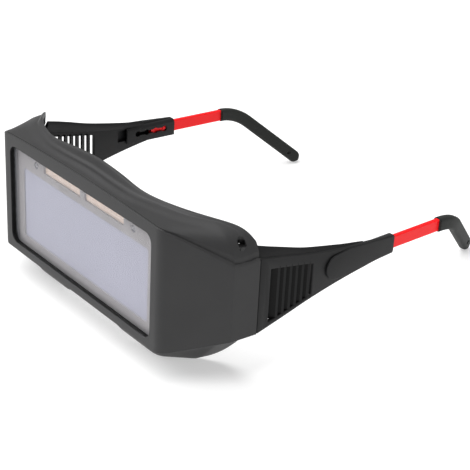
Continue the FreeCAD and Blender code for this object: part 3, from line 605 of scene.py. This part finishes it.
def plan_line(inset, corner_radius, bend_radius):
    """The right half of the shell's plan edge, as (x, y, place) from the middle to the seam."""
    slant = inset * math.hypot(BEND_X - CORNER_X, BEND_Y) / BEND_Y
    lean = (BEND_X - CORNER_X) * inset / BEND_Y
    corner_x = CORNER_X - slant + lean
    corners = [(0.0, inset, 0.0), (corner_x, inset, 3.0),
               (BEND_X - slant, BEND_Y, 5.0), (SEAM_X - inset, SEAM_Y, 6.0)]
    points = filleted(corners, (corner_radius, bend_radius), (34, 22, 8), 9)
    for p in points:
        if p.z < 3.0 and p.y <= inset:
            last_step = 2.0 + (p.x - 2 * PLAN_STEP) / (corner_x - 2 * PLAN_STEP)
            p.z = p.x / PLAN_STEP if p.x < 2 * PLAN_STEP else last_step
    return points


def rim_at(rim, place):
    knots = [(float(i), p) for i, p in enumerate(rim)]
    return Vector([through([(k, p[axis]) for k, p in knots], place) for axis in (0, 1)])


def sheet_points(start, rim, height, shares, edge, edge_turn, rim_edge, rim_turn, groove=0.0):
    """One line of a sheet from its rim to its crease, with rounded ends and a groove near the crease."""
    way = rim - start
    reach = way.length
    way.normalize()

    def at(distance):
        p = start + way * distance
        sunk = groove * math.exp(-((distance - GROOVE_AT) / GROOVE_HALF) ** 6)
        return Vector((p.x, p.y, height(p.x, p.y) + edge_turn * sunk))

    tip, crease = at(reach), at(0.0)
    inner_tip, inner_crease = at(reach - rim_edge), at(edge)
    under = tip + Vector((0, 0, rim_turn * rim_edge))
    beside = crease + Vector((0, 0, edge_turn * edge))
    points = [under, under.lerp(tip, 0.5).lerp(tip.lerp(inner_tip, 0.5), 0.5)]
    start_of_rows = GROOVE_AT + 2.5 * GROOVE_HALF
    points += [at(start_of_rows + (reach - rim_edge - start_of_rows) * share) for share in shares]
    points += [at(edge + (start_of_rows - edge) * (11 - i) / 12) for i in range(12)]
    for t in (0.33, 0.67):
        points.append(inner_crease.lerp(crease, t).lerp(crease.lerp(beside, t), t))
    return points + [beside]


def shell_profile(start, place, wall, edge, rim_edge, outside):
    """One face of the shell's section, from brow rim over the wall to cheek rim."""
    top, low = rim_at(BROW_RIM, place), rim_at(CHEEK_RIM, place)
    top_shares = [1 - (i / 34) ** 1.35 for i in range(35)]
    low_shares = [i / 16 for i in range(17)][::-1]
    turn = -1 if outside else 1
    side_share = smooth_step((place - 3.05) / 0.25) if outside else 0.0
    edge *= 1.0 - 0.75 * side_share
    if outside:
        upper, lower = top_height, belly_height
    else:
        upper = lambda x, y: thinned(top_height, x, y, -wall)
        lower = lambda x, y: thinned(belly_height, x, y, wall)
    upper_groove = GROOVE_DEPTH * (FRONT_GROOVE + (1 - FRONT_GROOVE) * side_share) if outside else 0.0
    above = sheet_points(start, top, upper, top_shares, edge, -1, rim_edge, turn, upper_groove)
    lower_groove = GROOVE_DEPTH * side_share
    below = sheet_points(start, low, lower, low_shares, edge, 1, rim_edge, -turn, lower_groove)[::-1]
    side = [above[-1].lerp(below[0], i / 6) for i in range(1, 6)]
    return above + side + below


def shell_skin(sizes):
    """The closed, even-walled shell before its window is cut."""
    wall = sizes.wall / MM
    outer_plan = plan_line(0.0, sizes.corner / MM, sizes.bend / MM)
    inner_plan = plan_line(wall, (sizes.corner - sizes.wall) / MM, 0.3)
    sections = []
    for outer, inner in zip(outer_plan, inner_plan):
        face = shell_profile(Vector(outer[:2]), outer[2], wall, sizes.edge / MM, sizes.rim / MM, True)
        back = shell_profile(Vector(inner[:2]), inner[2], wall, 0.4, 0.3, False)
        sections.append(face + back[::-1])
    left = [[Vector((-p.x, p.y, p.z)) for p in section] for section in sections[:0:-1]]
    rings = left + sections
    bm = loft(rings, closed_ends=False)
    for ring in (rings[0], rings[-1]):
        corners = [bm.verts.new(p) for p in ring]
        count = len(corners)
        for i in range(count // 2 - 1):
            bm.faces.new((corners[i], corners[i + 1], corners[count - 2 - i], corners[count - 1 - i]))
    return bm


def upright_cylinder(radius, low, high, side):
    chamfer = 0.3
    profile = [(radius - chamfer, low), (radius, low + chamfer),
               (radius, high - chamfer), (radius - chamfer, high)]
    return turned(profile, side * HINGE_X, HINGE_Y)


class GOGGLES_OT_shell(bpy.types.Operator):
    """Moulded shell with its window, lens pocket and hinge lugs"""
    bl_idname = "goggles.shell"
    bl_label = "Shell"

    def execute(self, context):
        sizes = context.scene.goggle_shell
        window = rounded_box(*WINDOW, sizes.window_corner / MM)
        cutters = [prism(window, -6.0, sizes.wall / MM + OVERCUT, "y")]
        for name, side in SIDES:
            mouth = [(sizes.pin_mouth / MM, PIN_MOUTH_FLOOR), (sizes.pin_mouth / MM, FRONT_HEIGHT)]
            cutters.append(turned(mouth, side * HINGE_X, HINGE_Y))
        parts = [cut(shell_skin(sizes), cutters)]
        collar_outside = rounded_box(*COLLAR, COLLAR_CORNER)
        collar_inside = rounded_box(*POCKET, POCKET_CORNER)
        parts.append(ring_solid(collar_outside, collar_inside, COLLAR_FRONT, COLLAR_REAR))
        for name, side in SIDES:
            parts += [upright_cylinder(LUG_RADIUS, low, high, side) for low, high in LUGS]
            parts.append(upright_cylinder(CUP_RADIUS, LUGS[0][0], PIN_MOUTH_FLOOR + 0.2, side))
        finish_piece("moulded_shell", gathered(parts), "housing", ["goggle_shell"],
                     finish("shell_plastic"), angle=40.0)
        return {"FINISHED"}


# ---------------------------------------------------------------- temple arms
def on_slide(bm):
    """Moves a part built along Y from the sleeve's mouth onto the right arm."""
    bm.transform(Matrix.Translation(SLEEVE_AT) @ Matrix.Rotation(SLIDE_ANGLE, 4, "Z"))
    return bm


def slide_box(low, high):
    (x0, y0, z0), (x1, y1, z1) = low, high
    return on_slide(prism([(x0, z0), (x1, z0), (x1, z1), (x0, z1)], y0, y1, "y"))


def bar_slot():
    """The bar's way through the sleeve, running on past the sleeve's front end."""
    return slide_box((-BAR_HALF_X, -SLEEVE_LENGTH - BAR_OVERRUN, -BAR_HALF_Z),
                     (BAR_HALF_X, OVERCUT, BAR_HALF_Z))


def detent_cutters():
    """Round lobes and the neck that joins them, on the inner side of the sleeve."""
    first = DETENT_LAST - DETENT_PITCH * (DETENT_COUNT - 1)
    cutters = [slide_box((-4.0, first, -NECK_HALF), (0.0, DETENT_LAST, NECK_HALF))]
    for index in range(DETENT_COUNT):
        centre = first + index * DETENT_PITCH
        lobe = []
        for i in range(24):
            a = 2 * math.pi * i / 24
            lobe.append((centre + LOBE_RADIUS * math.cos(a), LOBE_RADIUS * math.sin(a)))
        cutters.append(on_slide(prism(lobe, -4.0, 0.0, "x")))
    return cutters


def arm_edge(points, low, high, steps):
    places = [low + (high - low) * i / steps for i in range(steps + 1)]
    return [(y, through(points, y)) for y in places]


def arm_plate(sizes):
    """The side plate with its vent, smooth along both edges."""
    lower, upper = (arm_edge(points, ARM_FRONT, ARM_END, 26) for points in (ARM_LOWER, ARM_UPPER))
    outline = lower + upper[::-1]
    plate = prism(outline, SEAM_X - sizes.wall / MM, SEAM_X, "x")
    vent = prism(VENT, SEAM_X - sizes.wall / MM - OVERCUT, SEAM_X + OVERCUT, "x")
    beyond_pad = slide_box((PAD_FACE - 0.1, -SLEEVE_LENGTH - 4.0, -15.0), (PAD_FACE + 5.0, 2.0, 15.0))
    return cut(softened(cut(plate, [vent, beyond_pad]), sizes.edge / MM), [bar_slot()])


def arm_flange(sizes):
    """The leaf along the top of the arm, leaning inward and dying out toward the sleeve."""
    leaf = sizes.leaf / MM
    rings = []
    steps = 30
    for i in range(steps + 1):
        y = ARM_FRONT + (FLANGE_END - ARM_FRONT) * i / steps
        root = Vector((SEAM_X - FLANGE_INSET, y, through(ARM_UPPER, y) - FLANGE_SINK))
        crest = root + Vector((-through(FLANGE_INWARD, y), 0, through(FLANGE_HEIGHT, y)))
        inner = crest + Vector((-0.6 * leaf, 0, -leaf))
        inner_root = root + Vector((-sizes.wall / MM + 0.2, 0, -leaf))
        rings.append([root, crest, inner, inner_root])
    return softened(loft(rings), 0.35)


def arm_pad(sizes):
    """The raised bullet outside the sleeve."""
    nose_y = PAD_FRONT + PAD_RADIUS
    arc = [math.radians(a) for a in range(0, 181, 12)]
    points = [(nose_y - PAD_RADIUS * math.sin(a), PAD_NOSE_Z + PAD_RADIUS * math.cos(a)) for a in arc]
    lower = [(y, z + PAD_ABOVE_LOWER) for y, z in arm_edge(ARM_LOWER, PAD_JOIN_Y, ARM_END, 8)]
    upper = [(y, z - PAD_BELOW_UPPER) for y, z in arm_edge(ARM_UPPER, PAD_JOIN_Y, ARM_END, 8)][::-1]
    outline = [(y - SLEEVE_AT.y, z - SLEEVE_AT.z) for y, z in points + lower + upper]
    block = on_slide(prism(outline, PAD_FACE - sizes.pad / MM, PAD_FACE, "x"))
    return softened(block, 0.5, segments=3)


def arm_sleeve():
    block = prism(SLEEVE_OUTLINE, -SLEEVE_LENGTH, 0.0, "y")
    block = softened(block, 0.3)
    return cut(on_slide(block), [bar_slot()] + detent_cutters())


def arm_knuckle():
    """Barrel on the hinge pin and the web that carries it."""
    barrel = upright_cylinder(BARREL_RADIUS, BARREL_BOTTOM, BARREL_TOP, 1)
    return [barrel, prism(KNUCKLE_WEB, BARREL_BOTTOM, BARREL_TOP - WEB_SHORTER, "z")]


def fin_tree():
    """Node tree that stands a row of slanted, shortening fins in the vent."""
    tree = bpy.data.node_groups.new("Louvre fins", "GeometryNodeTree")
    sockets = (("Count", "NodeSocketInt"), ("Start", "NodeSocketVector"), ("Step", "NodeSocketVector"),
               ("Fin size", "NodeSocketVector"), ("First height", "NodeSocketFloat"),
               ("Taper", "NodeSocketFloat"), ("Slant", "NodeSocketVector"),
               ("Finish", "NodeSocketMaterial"))
    for name, kind in sockets:
        tree.interface.new_socket(name, in_out="INPUT", socket_type=kind)
    tree.interface.new_socket("Geometry", in_out="OUTPUT", socket_type="NodeSocketGeometry")
    given = tree.nodes.new("NodeGroupInput")
    made = tree.nodes.new("NodeGroupOutput")
    line = tree.nodes.new("GeometryNodeMeshLine")
    line.mode = "OFFSET"
    fin = tree.nodes.new("GeometryNodeMeshCube")
    place = tree.nodes.new("GeometryNodeInstanceOnPoints")
    number = tree.nodes.new("GeometryNodeInputIndex")
    shorter = tree.nodes.new("ShaderNodeMath")
    shorter.operation = "MULTIPLY"
    left = tree.nodes.new("ShaderNodeMath")
    left.operation = "SUBTRACT"
    scale = tree.nodes.new("ShaderNodeCombineXYZ")
    scale.inputs["X"].default_value = 1.0
    scale.inputs["Y"].default_value = 1.0
    real = tree.nodes.new("GeometryNodeRealizeInstances")
    coat = tree.nodes.new("GeometryNodeSetMaterial")
    join = tree.links.new
    join(given.outputs["Count"], line.inputs["Count"])
    join(given.outputs["Start"], line.inputs["Start Location"])
    join(given.outputs["Step"], line.inputs["Offset"])
    join(given.outputs["Fin size"], fin.inputs["Size"])
    join(number.outputs["Index"], shorter.inputs[0])
    join(given.outputs["Taper"], shorter.inputs[1])
    join(given.outputs["First height"], left.inputs[0])
    join(shorter.outputs["Value"], left.inputs[1])
    join(left.outputs["Value"], scale.inputs["Z"])
    join(line.outputs["Mesh"], place.inputs["Points"])
    join(fin.outputs["Mesh"], place.inputs["Instance"])
    join(given.outputs["Slant"], place.inputs["Rotation"])
    join(scale.outputs["Vector"], place.inputs["Scale"])
    join(place.outputs["Instances"], real.inputs["Geometry"])
    join(real.outputs["Geometry"], coat.inputs["Geometry"])
    join(given.outputs["Finish"], coat.inputs["Material"])
    join(coat.outputs["Geometry"], made.inputs["Geometry"])
    return tree


def arm_fins(sizes, tree, material):
    """The louvre fins of one vent, in millimetres."""
    obj = as_object("fins", bmesh.new())
    rows = obj.modifiers.new("fins", "NODES")
    rows.node_group = tree
    values = {
        "Count": sizes.fin_count,
        "Start": FIN_START,
        "Step": (0.0, sizes.fin_pitch / MM, FIN_RISE),
        "Fin size": (sizes.fin_width / MM, sizes.fin_thickness / MM, 1.0),
        "First height": sizes.fin_front / MM,
        "Taper": sizes.fin_taper / MM,
        "Slant": (0.0, 0.0, FIN_SLANT),
        "Finish": material,
    }
    for item in tree.interface.items_tree:
        if item.in_out == "INPUT":
            rows[item.identifier] = values[item.name]
    obj.update_tag()
    bake_modifiers(obj)
    bm = bmesh.new()
    bm.from_mesh(obj.data)
    mesh = obj.data
    bpy.data.objects.remove(obj)
    bpy.data.meshes.remove(mesh)
    if not bm.faces:
        raise RuntimeError("the louvre fins came out empty")
    return bm


class GOGGLES_OT_arms(bpy.types.Operator):
    """Temple arms with louvred vents, sleeves and hinge barrels"""
    bl_idname = "goggles.arms"
    bl_label = "Temple arms"

    def execute(self, context):
        sizes = context.scene.goggle_arm
        tree = fin_tree()
        material = finish("arm_plastic")
        for name, side in SIDES:
            parts = [arm_plate(sizes), arm_flange(sizes), arm_pad(sizes), arm_sleeve(),
                     arm_fins(sizes, tree, material)]
            finish_piece("louvred_arm_" + name, gathered(parts + arm_knuckle()), name + "_arm",
                         ["temple_arm_" + name], material, side)
        return {"FINISHED"}


# ---------------------------------------------------------------- rubber tips
def rounded_section(half_x, half_z, radius, steps=5):
    points = []
    for sx, sz, start in ((1, 1, 0), (-1, 1, 90), (-1, -1, 180), (1, -1, 270)):
        for i in range(steps + 1):
            a = math.radians(start + 90.0 * i / steps)
            points.append((sx * (half_x - radius) + radius * math.cos(a),
                           sz * (half_z - radius) + radius * math.sin(a)))
    return points


def tip_stations(sizes):
    """Centre, direction, half thickness and half width of each section of the right tip."""
    along = Vector((-math.sin(SLIDE_ANGLE), math.cos(SLIDE_ANGLE), 0.0))
    start = SLEEVE_AT + along * TIP_START
    corner = start + along * TIP_STRAIGHT
    down = (TIP_END - corner).normalized()
    turn = along.angle(down)
    trim = TIP_BEND * math.tan(turn / 2)
    half_t, half_w = sizes.thickness / MM / 2, sizes.width / MM / 2
    inward = (down - along * along.dot(down)).normalized()
    centre = corner - along * trim + inward * TIP_BEND
    stations = [(start + along * reach, along, half_t - less, half_w - less) for reach, less in TIP_LIP]
    for i in range(1, 5):
        stations.append((start.lerp(corner - along * trim, i / 5), along, half_t, half_w))
    for i in range(17):
        a = turn * i / 16
        heading = along * math.cos(a) + inward * math.sin(a)
        at = centre + (along * math.sin(a) - inward * math.cos(a)) * TIP_BEND
        stations.append((at, heading, half_t, half_w))
    bend_end = corner + down * trim
    for i in range(1, 13):
        stations.append((bend_end.lerp(TIP_END, i / 12), down, half_t, half_w))
    for i in range(1, 10):
        a = math.radians(90.0 * i / 9.6)
        at = TIP_END + down * half_w * math.sin(a)
        stations.append((at, down, half_t * (1 - 0.35 * math.sin(a) ** 6), half_w * math.cos(a)))
    return along, down, stations


def tip_mesh(sizes):
    along, down, stations = tip_stations(sizes)
    across, up = Vector((math.cos(SLIDE_ANGLE), math.sin(SLIDE_ANGLE), 0.0)), Vector((0.0, 0.0, 1.0))
    rings = []
    for at, heading, half_t, half_w in stations:
        turn = along.rotation_difference(heading)
        thick, wide = turn @ across, turn @ up
        radius = min(sizes.edge / MM, half_t * 0.95, half_w * 0.95)
        section = rounded_section(half_t, half_w, radius)
        rings.append([at + thick * a + wide * b for a, b in section])
    thick = along.rotation_difference(down) @ across
    hole_at = TIP_END - down * (sizes.hole_from_end / MM)
    sideways, radius = thick.cross(down), sizes.hole / MM
    angles = [2 * math.pi * i / HOLE_SIDES for i in range(HOLE_SIDES)]
    hole = []
    for reach in (-HOLE_REACH, HOLE_REACH):
        middle = hole_at + thick * reach
        hole.append([middle + (down * math.cos(a) + sideways * math.sin(a)) * radius for a in angles])
    return cut(loft(rings), [loft(hole)])


class GOGGLES_OT_tips(bpy.types.Operator):
    """Bent rubber temple tips, each with a hole for a lanyard"""
    bl_idname = "goggles.tips"
    bl_label = "Temple tips"

    def execute(self, context):
        for name, side in SIDES:
            finish_piece("rubber_tip_" + name, tip_mesh(context.scene.goggle_tip), name + "_end",
                         ["temple_tip_" + name], finish("tip_rubber"), side, angle=50.0)
        return {"FINISHED"}


# ---------------------------------------------------------------- lens stack, sliders and pins
class GOGGLES_OT_stock_parts(bpy.types.Operator):
    """Finishes for the parts whose shape is already final: lens stack, sliders and hinge pins"""
    bl_idname = "goggles.stock_parts"
    bl_label = "Lens stack, sliders and pins"

    def execute(self, context):
        replaced = ("goggle_shell", "temple_arm_right", "temple_arm_left",
                    "temple_tip_right", "temple_tip_left")
        for part in frame["record"]["subparts"]:
            if part["node"] in replaced:
                continue
            obj = frame["nodes"][part["node"]]
            obj.data.materials.clear()
            obj.data.materials.append(finish(part["material_slot"]))
        return {"FINISHED"}


# ---------------------------------------------------------------- studio
def lit_paper(name, tone, glow, roughness):
    """Pale paper, lit from behind so that shadows on it stay light."""
    return moulded(name, (tone, tone, tone), 0.01, roughness, 40.0, 0.01, patch=0.8,
                   Emission_Color=(1.0, 1.0, 1.0, 1.0), Emission_Strength=glow)


def soft_sun(name, toward, strength, spread):
    """An even light from one side, with soft shadows."""
    data = bpy.data.lights.new(name, "SUN")
    data.energy = strength
    data.angle = spread
    obj = bpy.data.objects.new(name, data)
    bpy.context.scene.collection.objects.link(obj)
    obj.rotation_euler = Vector(toward).to_track_quat("Z", "Y").to_euler()
    return obj


class GOGGLES_OT_studio(bpy.types.Operator):
    """Pale floor, soft lights and camera"""
    bl_idname = "goggles.studio"
    bl_label = "Studio"

    def execute(self, context):
        scene = context.scene
        sizes = scene.goggle_studio
        half = sizes.floor / 2
        bm = bmesh.new()
        corners = [(-half, -half), (half, -half), (half, half), (-half, half)]
        level_at = [(x, y, (y - FLOOR_FRONT) * FLOOR_RISE - FLOOR_DROP) for x, y in corners]
        bm.faces.new([bm.verts.new(corner) for corner in level_at])
        floor = as_object("studio_floor", bm)
        floor.data.materials.append(lit_paper("floor paper", 0.6, 0.45, (0.7, 0.8)))

        world = bpy.data.worlds.new("studio air")
        scene.world = world
        world.use_nodes = True
        air = world.node_tree.nodes["Background"]
        air.inputs["Color"].default_value = (1.0, 1.0, 1.0, 1.0)
        air.inputs["Strength"].default_value = AIR_STRENGTH
        soft_sun("skylight", (-0.30, -0.25, 0.92), 3.6, math.radians(70.0))
        soft_sun("window light", (-0.55, -0.75, 0.35), 0.5, math.radians(50.0))
        soft_sun("side light", (0.80, 0.58, 0.10), 0.5, math.radians(40.0))

        turn, rise_angle, roll = sizes.azimuth, sizes.elevation, sizes.roll
        level_reach = math.cos(rise_angle)
        back = Vector((math.sin(turn) * level_reach, -math.cos(turn) * level_reach, math.sin(rise_angle)))
        level = Vector((0, 0, 1)).cross(back).normalized()
        upward = back.cross(level)
        right = level * math.cos(roll) + upward * math.sin(roll)
        up = -level * math.sin(roll) + upward * math.cos(roll)
        camera = bpy.data.objects.new("camera", bpy.data.cameras.new("camera"))
        scene.collection.objects.link(camera)
        camera.data.sensor_width = 36.0
        camera.data.lens = sizes.focal_length
        turned_axes = Matrix((right, up, back)).transposed().to_4x4()
        camera.matrix_world = Matrix.Translation(sizes.camera_at) @ turned_axes
        scene.camera = camera
        scene.view_settings.view_transform = "Standard"
        return {"FINISHED"}


class GOGGLES_PT_panel(bpy.types.Panel):
    """Buttons for every piece, and the sizes they are made to"""
    bl_idname = "GOGGLES_PT_panel"
    bl_label = "Welding goggles"
    bl_space_type = "VIEW_3D"
    bl_region_type = "UI"
    bl_category = "Goggles"

    def draw(self, context):
        for operator in OPERATORS:
            self.layout.operator(operator.bl_idname)
        for name in GROUPS:
            group = getattr(context.scene, name)
            box = self.layout.box()
            for key in group.__annotations__:
                box.prop(group, key)


OPERATORS = (GOGGLES_OT_shell, GOGGLES_OT_arms, GOGGLES_OT_tips, GOGGLES_OT_stock_parts, GOGGLES_OT_studio)
GROUPS = {"goggle_shell": ShellSizes, "goggle_arm": ArmSizes, "goggle_tip": TipSizes,
          "goggle_finishes": Finishes, "goggle_studio": StudioSizes}
CLASSES = (*GROUPS.values(), *OPERATORS, GOGGLES_PT_panel)


def register():
    for cls in CLASSES:
        bpy.utils.register_class(cls)
    for name, group in GROUPS.items():
        setattr(bpy.types.Scene, name, PointerProperty(type=group))


def unregister():
    for name in GROUPS:
        delattr(bpy.types.Scene, name)
    for cls in reversed(CLASSES):
        bpy.utils.unregister_class(cls)


def main():
    register()
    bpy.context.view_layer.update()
    bpy.ops.goggles.shell()
    bpy.ops.goggles.arms()
    bpy.ops.goggles.tips()
    bpy.ops.goggles.stock_parts()
    bpy.ops.goggles.studio()


if __name__ == "__main__":
    main()
